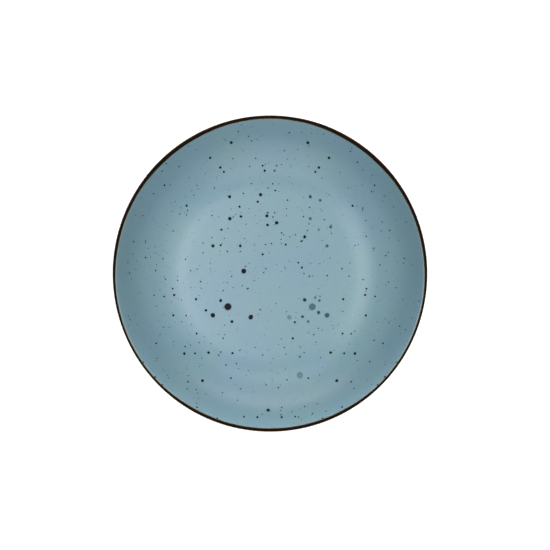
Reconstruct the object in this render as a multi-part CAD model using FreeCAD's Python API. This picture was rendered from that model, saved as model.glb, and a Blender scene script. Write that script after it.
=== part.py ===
import FreeCAD, Part
import math
import os
import random

# A coupe soup bowl in blue speckled stoneware with a dark hand-banded lip. Millimetres, +Z up.
# The origin is the centre of the foot ring, on the surface that the bowl stands on.
# The bowl is one fired clay body under coats of glaze, and every coat is a solid of its own.

# Overall sizes, coats included
RIM_DIAMETER = 220.0
HEIGHT = 50.0

# Bowl
FLOOR_FLAT_RADIUS = 6.0  # the middle of the floor is flat as far as here
FLOOR_RADIUS = 58.0  # where the gently dished floor turns up into the wall
FLOOR_DISH = 2.5  # how much higher the floor is there than in its middle
WALL_THICKNESS = 5.6  # where the wall leaves the floor, from where it tapers to the lip
LIP_THICKNESS = 3.2  # the lip is a full round of this width
BASE_THICKNESS = 5.0  # at the centre

# Foot ring, turned from the same clay
FOOT_RADIUS = 56.0
FOOT_WIDTH = 6.0
FOOT_RECESS_DEPTH = 3.5
FOOT_EDGE_ROUND = 1.0
FOOT_WALL_FILLET = 2.0
FOOT_RECESS_FILLET = 1.5
BARE_FOOT_HEIGHT = 1.5  # the foot is wiped clean of glaze up to here

# Coats
GLAZE_THICKNESS = 0.5
BAND_WIDTH = 2.2  # dark lip seen from above, from the outermost edge inwards
BAND_DROP = 5.5  # how far the dark lip runs down the outside, from the top of the lip

# Iron specks melted into the glaze
SPECK_THICKNESS = 0.25
SPECK_PATTERN_RIM = 220.0  # the places below are for a rim of this diameter, and spread or close up with it
MIRRORED_SPECKS = [  # (x, y, diameter), each with a twin at -x
    (-8.5, -101.0, 1.5), (-18.0, -100.5, 1.2), (-50.6, -93.4, 1.3), (-47.5, -76.0, 2.0),
    (-60.5, -57.0, 1.8), (-53.0, -57.0, 1.3), (-43.5, -56.5, 1.8), (-27.5, -74.5, 1.2),
    (-27.0, 92.0, 2.0), (-42.0, 81.5, 1.7), (-35.0, 75.0, 1.7), (-32.5, 72.0, 1.4),
    (-5.0, 76.5, 1.3), (-3.5, 73.0, 1.6), (-74.0, 62.0, 1.2), (-59.0, 48.0, 1.5),
    (-68.0, -15.5, 1.5), (-69.0, -11.0, 1.2), (-68.5, -30.0, 1.5), (-52.5, -18.5, 1.5),
    (-52.0, -43.0, 1.3), (-80.0, -49.5, 1.2), (-75.0, -16.5, 1.2), (-57.5, -76.5, 1.2),
]
LONE_SPECKS = [
    (-18.5, 1.5, 3.3), (-30.0, -24.0, 4.2), (-40.5, -30.0, 3.0), (-13.5, -31.5, 2.9),
    (-35.0, -19.5, 2.0), (-27.0, -34.5, 1.8), (-45.5, -26.5, 1.7), (-28.5, 39.0, 2.3),
    (-20.5, 40.5, 1.7), (-21.5, 47.5, 1.5), (-28.5, 54.5, 2.0), (-6.5, 56.0, 2.1),
    (-8.5, 51.0, 1.5), (-2.0, 41.0, 2.0), (-1.3, 43.2, 1.2), (-1.5, 34.5, 1.8),
    (5.0, 36.0, 2.3), (25.0, 26.0, 2.0), (23.0, 23.0, 1.2), (-40.5, 19.5, 2.1),
    (-35.0, 20.0, 1.4), (-21.0, 19.5, 1.8), (-5.0, 13.5, 1.4), (-34.5, 31.0, 1.4),
    (20.5, 7.5, 1.2), (23.0, 4.0, 1.4), (4.0, 59.0, 1.2), (16.5, -46.5, 1.4),
    (-1.0, -96.5, 2.2), (-26.5, -57.0, 1.5), (18.0, -35.0, 1.4),
]
SUNKEN_SPECKS = [  # on the clay, so the glaze over them veils them
    (30.5, -24.0, 4.2), (41.0, -30.0, 3.0), (25.0, -19.0, 2.3), (35.0, -28.0, 2.1),
    (23.5, -31.0, 1.8), (35.5, -19.5, 1.7), (32.5, -17.5, 1.5), (27.5, -34.5, 1.7),
    (21.5, -72.5, 3.9), (14.0, -31.5, 2.7), (29.0, 54.5, 2.0), (36.0, 52.0, 1.8),
    (29.0, 39.0, 2.0), (43.5, 33.0, 1.8), (41.0, 19.5, 2.0), (35.0, 31.0, 1.3),
    (11.5, 20.5, 1.4), (28.5, -2.0, 1.2), (21.5, -59.5, 1.5),
]
OUTSIDE_SPECK_COUNT = 34
OUTSIDE_SPECK_DIAMETERS = (1.2, 3.2)
OUTSIDE_SPECK_SPACING = 9.0
OUTSIDE_SPECK_MARGIN = 0.12  # angle along the wall, in radians, kept free at the lip and at the foot
OUTSIDE_SPECK_SEED = 11


def polar(centre, radius, angle):
    """The point of the section on a circle, with the angle turned from straight down towards +X."""
    return (centre[0] + radius * math.sin(angle), centre[1] - radius * math.cos(angle))


class Line:
    """A straight stretch of the section. The clay is on the right of the way from start to end."""

    def __init__(self, start, end):
        length = math.dist(start, end)
        self.ends = (start, end)
        self.inwards = ((end[1] - start[1]) / length, (start[0] - end[0]) / length)

    def point(self, end, depth):
        """One end (0 or 1), at a depth below the finished surface."""
        x, z = self.ends[end]
        return (x + depth * self.inwards[0], z + depth * self.inwards[1])

    def edge(self, depth):
        """The whole stretch, at a depth below the finished surface."""
        return segment(self.point(0, depth), self.point(1, depth))


class Arc:
    """A round stretch of the section. A hollow one has its centre in the air, and a full one in the clay."""

    def __init__(self, centre, radius, start, end, hollow):
        self.centre = centre
        self.radius = radius
        self.angles = (start, end)
        self.side = 1 if hollow else -1

    def at(self, angle, depth):
        """The point at an angle, at a depth below the finished surface."""
        return polar(self.centre, self.radius + self.side * depth, angle)

    def point(self, end, depth):
        """One end (0 or 1), at a depth below the finished surface."""
        return self.at(self.angles[end], depth)

    def edge(self, depth):
        """The whole stretch, at a depth below the finished surface."""
        start, end = self.angles
        points = [self.at(angle, depth) for angle in (start, (start + end) / 2, end)]
        return Part.Arc(*[FreeCAD.Vector(x, 0, z) for x, z in points]).toShape()


def segment(start, end):
    """A straight edge between two points of the section."""
    return Part.makeLine(FreeCAD.Vector(start[0], 0, start[1]), FreeCAD.Vector(end[0], 0, end[1]))


def turned(edges):
    """The solid that a closed outline of the section turns through about the bowl's axis."""
    outline = Part.Face(Part.Wire(edges))
    return outline.revolve(FreeCAD.Vector(0, 0, 0), FreeCAD.Vector(0, 0, 1), 360)


def coat(path, top, bottom):
    """The solid of one coat along a path of the section, between two depths."""
    down = segment(path[-1].point(1, top), path[-1].point(1, bottom))
    up = segment(path[0].point(0, bottom), path[0].point(0, top))
    outer = [stretch.edge(top) for stretch in path]
    inner = [stretch.edge(bottom) for stretch in reversed(path)]
    return turned(outer + [down] + inner + [up])


# The finished section, worked out from the sizes above
lip_radius = LIP_THICKNESS / 2
lip_centre = (RIM_DIAMETER / 2 - lip_radius, HEIGHT - lip_radius)
floor_height = FOOT_RECESS_DEPTH + BASE_THICKNESS
floor_width = FLOOR_RADIUS - FLOOR_FLAT_RADIUS
floor_curve = (floor_width**2 + FLOOR_DISH**2) / (2 * FLOOR_DISH)
floor_centre = (FLOOR_FLAT_RADIUS, floor_height + floor_curve)
floor_tilt = math.asin(floor_width / floor_curve)

# The wall leaves the floor's edge along the floor's own slope and meets the lip's round without a corner
floor_edge = polar(floor_centre, floor_curve, floor_tilt)
reach = (lip_centre[0] - floor_edge[0], lip_centre[1] - floor_edge[1])
rise = reach[1] * math.cos(floor_tilt) - reach[0] * math.sin(floor_tilt)
wall_radius = (reach[0] ** 2 + reach[1] ** 2 - lip_radius**2) / (2 * (rise + lip_radius))
wall_centre = polar(floor_centre, floor_curve - wall_radius, floor_tilt)
wall_slope = math.atan2(lip_centre[0] - wall_centre[0], wall_centre[1] - lip_centre[1])

# The back meets the lip's round without a corner too, and the wall thickens from there to the floor's edge
taper_angle = wall_slope - floor_tilt
root_reach = wall_radius + WALL_THICKNESS
lip_reach = wall_radius + LIP_THICKNESS
back_shift = (root_reach**2 - lip_reach**2) / (2 * (lip_reach - root_reach * math.cos(taper_angle)))
back_centre = polar(wall_centre, -back_shift, wall_slope)
back_radius = lip_reach + back_shift

# The dark band's two edges
band_start = math.pi - math.asin((lip_radius - BAND_WIDTH) / lip_radius)
band_end = math.acos((back_centre[1] - HEIGHT + BAND_DROP) / back_radius)

# The foot ring and the fillet under the wall
foot_inner_radius = FOOT_RADIUS - FOOT_WIDTH
fillet_side = FOOT_RADIUS + FOOT_WALL_FILLET - back_centre[0]
fillet_drop = math.sqrt((back_radius + FOOT_WALL_FILLET) ** 2 - fillet_side**2)
fillet_centre = (FOOT_RADIUS + FOOT_WALL_FILLET, back_centre[1] - fillet_drop)
fillet_angle = math.atan2(fillet_side, fillet_drop)
recess_centre = (foot_inner_radius - FOOT_RECESS_FILLET, FOOT_RECESS_DEPTH - FOOT_RECESS_FILLET)
outer_edge_centre = (FOOT_RADIUS - FOOT_EDGE_ROUND, FOOT_EDGE_ROUND)
inner_edge_centre = (foot_inner_radius + FOOT_EDGE_ROUND, FOOT_EDGE_ROUND)

QUARTER = math.pi / 2
floor_middle = Line((0, floor_height), (FLOOR_FLAT_RADIUS, floor_height))
floor = Arc(floor_centre, floor_curve, 0, floor_tilt, hollow=True)
wall = Arc(wall_centre, wall_radius, floor_tilt, wall_slope, hollow=True)
lip = Arc(lip_centre, lip_radius, wall_slope + math.pi, band_start, hollow=False)
banded_lip = Arc(lip_centre, lip_radius, band_start, wall_slope, hollow=False)
banded_back = Arc(back_centre, back_radius, wall_slope, band_end, hollow=False)
back = Arc(back_centre, back_radius, band_end, fillet_angle, hollow=False)

inside_path = [floor_middle, floor, wall, lip]
band_path = [banded_lip, banded_back]
outside_path = [
    back,
    Arc(fillet_centre, FOOT_WALL_FILLET, fillet_angle + math.pi, 3 * QUARTER, hollow=True),
    Line((FOOT_RADIUS, fillet_centre[1]), (FOOT_RADIUS, BARE_FOOT_HEIGHT)),
]
bare_foot_path = [
    Line((FOOT_RADIUS, BARE_FOOT_HEIGHT), (FOOT_RADIUS, FOOT_EDGE_ROUND)),
    Arc(outer_edge_centre, FOOT_EDGE_ROUND, QUARTER, 0, hollow=False),
    Line((outer_edge_centre[0], 0), (inner_edge_centre[0], 0)),
    Arc(inner_edge_centre, FOOT_EDGE_ROUND, 0, -QUARTER, hollow=False),
    Line((foot_inner_radius, FOOT_EDGE_ROUND), (foot_inner_radius, BARE_FOOT_HEIGHT)),
]
recess_path = [
    Line((foot_inner_radius, BARE_FOOT_HEIGHT), (foot_inner_radius, recess_centre[1])),
    Arc(recess_centre, FOOT_RECESS_FILLET, QUARTER, 2 * QUARTER, hollow=True),
    Line((recess_centre[0], FOOT_RECESS_DEPTH), (0, FOOT_RECESS_DEPTH)),
]


def clay_body():
    """The fired clay: glaze deep under every coat, and at the finished surface where the foot is bare."""
    glazed_front = inside_path + band_path + outside_path
    edges = [stretch.edge(GLAZE_THICKNESS) for stretch in glazed_front]
    edges.append(segment(outside_path[-1].point(1, GLAZE_THICKNESS), bare_foot_path[0].point(0, 0)))
    edges += [stretch.edge(0) for stretch in bare_foot_path]
    edges.append(segment(bare_foot_path[-1].point(1, 0), recess_path[0].point(0, GLAZE_THICKNESS)))
    edges += [stretch.edge(GLAZE_THICKNESS) for stretch in recess_path]
    edges.append(segment(recess_path[-1].point(1, GLAZE_THICKNESS), floor_middle.point(0, GLAZE_THICKNESS)))
    return turned(edges)


def inside_spot(x, y):
    """A place on the finished inside, seen from above, with the direction out of the clay there."""
    radius = math.hypot(x, y)
    if radius < FLOOR_FLAT_RADIUS:
        return FreeCAD.Vector(x, y, floor_height), FreeCAD.Vector(0, 0, 1)
    if radius < FLOOR_RADIUS:
        stretch = floor
    elif radius < wall.point(1, 0)[0]:
        stretch = wall
    else:
        stretch = lip
    angle = math.asin((radius - stretch.centre[0]) / stretch.radius)
    if stretch is lip:
        angle = math.pi - angle
    return placed(stretch, angle, math.atan2(y, x))


def placed(stretch, angle, azimuth):
    """A place on a round stretch and the direction out of the clay there, turned about the axis."""
    radius, height = stretch.at(angle, 0)
    outwards, upwards = polar((0, 0), -stretch.side, angle)
    spot = FreeCAD.Vector(radius * math.cos(azimuth), radius * math.sin(azimuth), height)
    way = FreeCAD.Vector(outwards * math.cos(azimuth), outwards * math.sin(azimuth), upwards)
    return spot, way


def speck_solids(spots, path, top, bottom):
    """Specks as round plugs of a coat. Each spot is a place, the direction out of the clay and a diameter."""
    plugs = []
    for place, way, diameter in spots:
        start = place - way * 2 * GLAZE_THICKNESS
        plugs.append(Part.makeCylinder(diameter / 2, 4 * GLAZE_THICKNESS, start, way))
    return coat(path, top, bottom).common(Part.makeCompound(plugs))


def inside_spots(specks):
    """Places, directions and diameters for specks given by where they are seen from above."""
    spread = RIM_DIAMETER / SPECK_PATTERN_RIM
    return [(*inside_spot(x * spread, y * spread), diameter) for x, y, diameter in specks]


def outside_spots():
    """Specks thrown at random over the back of the wall, none closer together than their spacing."""
    chance = random.Random(OUTSIDE_SPECK_SEED)
    spots = []
    while len(spots) < OUTSIDE_SPECK_COUNT:
        angle = chance.uniform(fillet_angle + OUTSIDE_SPECK_MARGIN, band_end - OUTSIDE_SPECK_MARGIN)
        azimuth = chance.uniform(-math.pi, math.pi)
        smallest, largest = OUTSIDE_SPECK_DIAMETERS
        diameter = smallest + (largest - smallest) * chance.random() ** 3
        place, way = placed(back, angle, azimuth)
        seam_gap = abs(place.y) if place.x > 0 else OUTSIDE_SPECK_SPACING
        if seam_gap < diameter:
            continue
        if all(place.distanceToPoint(other[0]) >= OUTSIDE_SPECK_SPACING for other in spots):
            spots.append((place, way, diameter))
    return spots


def main():
    """Builds each piece and writes it to its own file."""
    twins = [(-x, y, diameter) for x, y, diameter in MIRRORED_SPECKS]
    surface_spots = inside_spots(MIRRORED_SPECKS + twins + LONE_SPECKS)
    sunken_spots = inside_spots(SUNKEN_SPECKS)
    sunken_depth = GLAZE_THICKNESS - SPECK_THICKNESS
    inside_specks = speck_solids(surface_spots, inside_path, 0, SPECK_THICKNESS)
    sunken_specks = speck_solids(sunken_spots, inside_path, sunken_depth, GLAZE_THICKNESS)
    outside_specks = speck_solids(outside_spots(), outside_path, 0, SPECK_THICKNESS)
    nodes = {
        "clay_body": clay_body(),
        "inside_glaze": coat(inside_path, 0, GLAZE_THICKNESS).cut([inside_specks, sunken_specks]),
        "outside_glaze": coat(outside_path, 0, GLAZE_THICKNESS).cut(outside_specks),
        "foot_recess_glaze": coat(recess_path, 0, GLAZE_THICKNESS),
        "rim_band": coat(band_path, 0, GLAZE_THICKNESS),
        "inside_specks": inside_specks,
        "sunken_specks": sunken_specks,
        "outside_specks": outside_specks,
    }
    os.makedirs("parts", exist_ok=True)
    for name, shape in nodes.items():
        shape.exportStep(f"parts/{name}.step")
        print(name, len(shape.Solids), "solids", round(shape.Volume), "mm3, valid", shape.isValid())


main()
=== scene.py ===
"""A coupe soup bowl in blue speckled stoneware with a dark, hand-banded lip, on a plain studio floor."""

import logging
import math
import random
from collections.abc import Callable
from dataclasses import dataclass, field
from enum import Enum

import bmesh
import bpy
from bmesh.types import BMesh, BMVert
from bpy.types import Material, Node, NodeSocket, NodeTree, Object
from mathutils import Matrix, Vector, noise
from mathutils.bvhtree import BVHTree


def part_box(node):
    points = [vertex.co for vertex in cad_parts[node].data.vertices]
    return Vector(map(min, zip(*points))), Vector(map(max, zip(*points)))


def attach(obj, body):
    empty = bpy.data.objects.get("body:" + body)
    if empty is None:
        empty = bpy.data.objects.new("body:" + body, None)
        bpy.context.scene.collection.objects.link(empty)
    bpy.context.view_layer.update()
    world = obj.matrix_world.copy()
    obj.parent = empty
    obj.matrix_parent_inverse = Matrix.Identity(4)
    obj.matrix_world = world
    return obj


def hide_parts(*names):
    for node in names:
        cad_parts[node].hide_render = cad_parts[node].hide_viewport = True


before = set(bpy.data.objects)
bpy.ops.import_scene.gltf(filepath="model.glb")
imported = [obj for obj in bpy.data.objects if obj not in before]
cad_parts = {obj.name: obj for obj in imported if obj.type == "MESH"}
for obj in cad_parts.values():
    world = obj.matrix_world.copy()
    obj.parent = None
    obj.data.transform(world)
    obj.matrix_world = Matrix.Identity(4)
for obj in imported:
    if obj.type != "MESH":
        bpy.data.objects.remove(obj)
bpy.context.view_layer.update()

log = logging.getLogger("bowl")

MM = 0.001
WELD = 0.002 * MM
OVAL = 0.0026  # share by which the fired bowl is narrower along X and longer along Y
BODY = "root"


def smooth(share: float) -> float:
    """Eases a share from 0 to 1, flat at both ends."""
    share = min(max(share, 0.0), 1.0)
    return share * share * (3 - 2 * share)


def linear(colour: str) -> tuple[float, float, float, float]:
    """Turns an sRGB hex colour into the linear one that shaders take.

    Args:
        colour: The colour as "#RRGGBB".

    Returns:
        Linear red, green and blue, and an alpha of 1.
    """
    shares = [int(colour[start : start + 2], 16) / 255 for start in (1, 3, 5)]
    red, green, blue = [s / 12.92 if s <= 0.04045 else ((s + 0.055) / 1.055) ** 2.4 for s in shares]
    return red, green, blue, 1.0


# ---------------------------------------------------------------- the bowl's section


@dataclass(frozen=True)
class Arc:
    """A round stretch of the section. Angles turn from straight down towards the rim."""

    centre: tuple[float, float]
    radius: float
    start: float
    end: float
    hollow: bool  # its centre is in the air, not in the clay

    @property
    def length(self) -> float:
        """How long the stretch is, along the finished surface."""
        return self.radius * abs(self.end - self.start)

    def at(self, angle: float, depth: float) -> tuple[float, float]:
        """Finds a point of the stretch.

        Args:
            angle: The angle about the centre.
            depth: How far below the finished surface the point lies.

        Returns:
            The point's distance from the bowl's axis, and its height.
        """
        reach = self.radius + (depth if self.hollow else -depth)
        return self.centre[0] + reach * math.sin(angle), self.centre[1] - reach * math.cos(angle)

    def along(self, share: float, depth: float) -> tuple[float, float]:
        """The point at a share of the way from start to end, at a depth."""
        return self.at(self.start + share * (self.end - self.start), depth)

    def angle_of(self, radius: float, height: float) -> float:
        """The angle, from 0 to a full turn, at which a point of the section lies about the centre."""
        return math.atan2(radius - self.centre[0], self.centre[1] - height) % math.tau


@dataclass(frozen=True)
class Straight:
    """A straight stretch of the section, with the clay on the right of its way."""

    start: tuple[float, float]
    end: tuple[float, float]

    @property
    def length(self) -> float:
        """How long the stretch is."""
        return math.dist(self.start, self.end)

    def along(self, share: float, depth: float) -> tuple[float, float]:
        """Finds a point of the stretch.

        Args:
            share: The share of the way from start to end.
            depth: How far below the finished surface the point lies.

        Returns:
            The point's distance from the bowl's axis, and its height.
        """
        run = (self.end[0] - self.start[0], self.end[1] - self.start[1])
        radius = self.start[0] + share * run[0] + depth * run[1] / self.length
        height = self.start[1] + share * run[1] - depth * run[0] / self.length
        return radius, height


Stretch = Arc | Straight


@dataclass
class Section:
    """The bowl's section in metres, as the potter's template would give it."""

    rim_radius: float
    height: float
    foot_inner_radius: float
    bare_foot_height: float
    floor_flat_radius: float = 6.0 * MM
    floor_radius: float = 58.0 * MM
    floor_dish: float = 2.5 * MM
    wall_thickness: float = 5.6 * MM  # where the wall leaves the floor
    lip_thickness: float = 3.2 * MM
    base_thickness: float = 5.0 * MM
    foot_width: float = 6.0 * MM
    foot_recess_depth: float = 3.5 * MM
    foot_edge_round: float = 1.0 * MM
    foot_wall_fillet: float = 2.0 * MM
    foot_recess_fillet: float = 1.5 * MM
    glaze_thickness: float = 0.5 * MM
    band_width: float = 2.2 * MM
    band_drop: float = 5.5 * MM

    def __post_init__(self) -> None:
        """Works out each stretch of the section from the sizes."""
        lip_radius = self.lip_thickness / 2
        lip_centre = (self.rim_radius - lip_radius, self.height - lip_radius)
        floor_height = self.foot_recess_depth + self.base_thickness
        floor_width = self.floor_radius - self.floor_flat_radius
        floor_curve = (floor_width**2 + self.floor_dish**2) / (2 * self.floor_dish)
        floor_tilt = math.asin(floor_width / floor_curve)
        self.middle = Straight((0.0, floor_height), (self.floor_flat_radius, floor_height))
        floor_centre = (self.floor_flat_radius, floor_height + floor_curve)
        self.floor = Arc(floor_centre, floor_curve, 0.0, floor_tilt, hollow=True)

        edge = self.floor.at(floor_tilt, 0.0)
        reach = (lip_centre[0] - edge[0], lip_centre[1] - edge[1])
        rise = reach[1] * math.cos(floor_tilt) - reach[0] * math.sin(floor_tilt)
        wall_radius = (reach[0] ** 2 + reach[1] ** 2 - lip_radius**2) / (2 * (rise + lip_radius))
        wall_centre = self.floor.at(floor_tilt, -wall_radius)
        slope = math.atan2(lip_centre[0] - wall_centre[0], wall_centre[1] - lip_centre[1])
        self.wall = Arc(wall_centre, wall_radius, floor_tilt, slope, hollow=True)
        root_reach = wall_radius + self.wall_thickness
        lip_reach = wall_radius + self.lip_thickness
        taper = 2 * (lip_reach - root_reach * math.cos(slope - floor_tilt))
        back_shift = (root_reach**2 - lip_reach**2) / taper
        back_centre = self.wall.at(slope, -wall_radius - back_shift)
        back_radius = lip_reach + back_shift
        band_start = math.pi - math.asin((lip_radius - self.band_width) / lip_radius)
        band_end = math.acos((back_centre[1] - self.height + self.band_drop) / back_radius)
        self.lip = Arc(lip_centre, lip_radius, slope + math.pi, band_start, hollow=False)
        self.banded_lip = Arc(lip_centre, lip_radius, band_start, slope, hollow=False)
        self.banded_back = Arc(back_centre, back_radius, slope, band_end, hollow=False)

        foot_radius = self.foot_inner_radius + self.foot_width
        self.foot_radius = foot_radius
        fillet = self.foot_wall_fillet
        side = foot_radius + fillet - back_centre[0]
        drop = math.sqrt((back_radius + fillet) ** 2 - side**2)
        fillet_centre = (foot_radius + fillet, back_centre[1] - drop)
        fillet_angle = math.atan2(side, drop)
        quarter = math.pi / 2
        self.back = Arc(back_centre, back_radius, band_end, fillet_angle, hollow=False)
        self.back_fillet = Arc(fillet_centre, fillet, fillet_angle + math.pi, 3 * quarter, hollow=True)
        glaze_line = (foot_radius, self.bare_foot_height)
        self.foot_side = Straight((foot_radius, fillet_centre[1]), glaze_line)

        edge_round = self.foot_edge_round
        outer = (foot_radius - edge_round, edge_round)
        inner = (self.foot_inner_radius + edge_round, edge_round)
        self.bare_foot = [
            Straight(glaze_line, (foot_radius, edge_round)),
            Arc(outer, edge_round, quarter, 0.0, hollow=False),
            Straight((outer[0], 0.0), (inner[0], 0.0)),
            Arc(inner, edge_round, 0.0, -quarter, hollow=False),
            Straight((self.foot_inner_radius, edge_round), (self.foot_inner_radius, self.bare_foot_height)),
        ]
        ring = self.foot_recess_fillet
        corner = (self.foot_inner_radius - ring, self.foot_recess_depth - ring)
        self.recess = [
            Straight((self.foot_inner_radius, self.bare_foot_height), (self.foot_inner_radius, corner[1])),
            Arc(corner, ring, quarter, 2 * quarter, hollow=True),
            Straight((corner[0], self.foot_recess_depth), (0.0, self.foot_recess_depth)),
        ]

    @classmethod
    def from_frame(cls) -> "Section":
        """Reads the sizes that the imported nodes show, to a tenth of a millimetre.

        Returns:
            The section.
        """
        _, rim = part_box("rim_band")
        _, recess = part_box("foot_recess_glaze")
        glaze_line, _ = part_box("outside_glaze")
        return cls(round(rim.x, 4), round(rim.z, 4), round(recess.x, 4), round(glaze_line.z, 4))

    @property
    def inside(self) -> list[Stretch]:
        """The glazed inside, from the middle of the floor to the dark lip."""
        return [self.middle, self.floor, self.wall, self.lip]

    @property
    def outside(self) -> list[Stretch]:
        """The glazed outside, from the dark lip down to the glaze line on the foot."""
        return [self.back, self.back_fillet, self.foot_side]

    @property
    def band(self) -> list[Stretch]:
        """The dark lip, from its inner edge over the rim and down the outside."""
        return [self.banded_lip, self.banded_back]


class Outline:
    """A line of the section, drawn point by point in the XZ plane and then turned about the axis.

    Each point keeps its run: how far along the finished surface it lies, in millimetres. Points
    that are under a coat have a run of -1.
    """

    def __init__(self) -> None:
        """Starts an empty outline."""
        self.mesh = bmesh.new()
        self.run_layer = self.mesh.verts.layers.float.new("run")
        self.tip: BMVert | None = None

    def to(self, point: tuple[float, float], run: float = -1.0) -> None:
        """Draws on to a point.

        Args:
            point: Distance from the axis, and height.
            run: The point's run in millimetres.
        """
        if self.tip is None:
            self.tip = self.mesh.verts.new((point[0], 0.0, point[1]))
        else:
            made = bmesh.ops.extrude_vert_indiv(self.mesh, verts=[self.tip])
            self.tip = made["verts"][0]
            self.tip.co = (point[0], 0.0, point[1])
        self.tip[self.run_layer] = run

    def over(self, path: list[Stretch], spacing: float) -> None:
        """Draws over the finished surface along a path, and keeps the run.

        Args:
            path: The stretches, in their order.
            spacing: The distance from one point to the next.
        """
        done = 0.0
        for stretch in path:
            steps = max(2, round(stretch.length / spacing))
            for step in range(0 if done == 0.0 else 1, steps + 1):
                share = step / steps
                self.to(stretch.along(share, 0.0), (done + share * stretch.length) / MM)
            done += stretch.length

    def under(self, path: list[Stretch], spacing: float, depth: float, back: bool = False) -> None:
        """Draws under the coat of a path.

        Args:
            path: The stretches, in their order.
            spacing: The distance from one point to the next.
            depth: How far below the finished surface the line lies.
            back: Whether to go from the path's end to its start.
        """
        points = []
        for stretch in path:
            steps = max(2, round(stretch.length / spacing))
            points += [stretch.along(step / steps, depth) for step in range(steps + 1)]
        for point in reversed(points) if back else points:
            self.to(point)

    def coat(self, path: list[Stretch], spacing: float, under_spacing: float, depth: float) -> None:
        """Draws all round a coat: over it, back under it, and up to its start.

        Args:
            path: The stretches that the coat covers, in their order.
            spacing: The distance between points on the finished surface.
            under_spacing: The distance between points underneath.
            depth: The coat's thickness.
        """
        self.over(path, spacing)
        self.under(path, under_spacing, depth, back=True)
        start = path[0].along(0.0, 0.0)
        if start[0] > 0:  # a coat that starts on the axis is closed by the turning
            self.to(start, 0.0)

    def turned(self, steps: int) -> BMesh:
        """Turns the outline into a closed shell.

        Args:
            steps: How many steps make the full turn.

        Returns:
            The shell, its seam and poles closed and its faces outwards.
        """
        mesh = self.mesh
        geometry = mesh.verts[:] + mesh.edges[:]
        bmesh.ops.spin(
            mesh, geom=geometry, cent=(0, 0, 0), axis=(0, 0, 1), angle=math.tau, steps=steps, use_merge=True
        )
        bmesh.ops.remove_doubles(mesh, verts=mesh.verts, dist=WELD)
        bmesh.ops.recalc_face_normals(mesh, faces=mesh.faces)
        return mesh


# ---------------------------------------------------------------- finishes


def add(tree: NodeTree, kind: str, inputs: dict | None = None, **settings: object) -> Node:
    """Adds a node with its settings and links.

    Args:
        tree: The material's or world's node tree.
        kind: The node's type name.
        inputs: Each input by name or number, with a value or the socket that feeds it.
        **settings: The node's own settings.

    Returns:
        The new node.
    """
    node = tree.nodes.new(kind)
    for name, value in settings.items():
        setattr(node, name, value)
    for name, value in (inputs or {}).items():
        if isinstance(value, NodeSocket):
            tree.links.new(value, node.inputs[name])
        else:
            node.inputs[name].default_value = value
    return node


def ramp(tree: NodeTree, share: NodeSocket, stops: tuple[tuple[float, str], ...]) -> NodeSocket:
    """Adds a colour ramp.

    Args:
        tree: The material's node tree.
        share: The socket that feeds it.
        stops: Each stop's place from 0 to 1 and its colour, in their order.

    Returns:
        The ramp's colour socket.
    """
    node = add(tree, "ShaderNodeValToRGB", {"Fac": share})
    elements = node.color_ramp.elements
    elements.remove(elements[1])
    elements[0].position, elements[0].color = stops[0][0], linear(stops[0][1])
    for position, colour in stops[1:]:
        elements.new(position).color = linear(colour)
    return node.outputs["Color"]


def per_metre(size_mm: float) -> float:
    """The texture scale at which a pattern on Object coordinates repeats about once in a size."""
    return 1.0 / (size_mm * MM)


def direct(tree: NodeTree) -> NodeSocket:
    """Adds the test for rays that see a thing itself: the camera's, reflected and transmitted ones.

    Args:
        tree: The material's or world's node tree.

    Returns:
        A socket that is 1 for such a ray, and otherwise 0.
    """
    path = add(tree, "ShaderNodeLightPath")
    rays = [path.outputs[name] for name in ("Is Camera Ray", "Is Glossy Ray", "Is Transmission Ray")]
    seen = add(tree, "ShaderNodeMath", {0: rays[0], 1: rays[1]}, operation="MAXIMUM").outputs[0]
    return add(tree, "ShaderNodeMath", {0: seen, 1: rays[2]}, operation="MAXIMUM").outputs[0]


def new_material(name: str) -> tuple[Material, NodeTree]:
    """Makes an empty material.

    Args:
        name: The material's name.

    Returns:
        The material and its cleared node tree.
    """
    material = bpy.data.materials.new(name)
    material.use_nodes = True
    material.node_tree.nodes.clear()
    return material, material.node_tree


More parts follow.
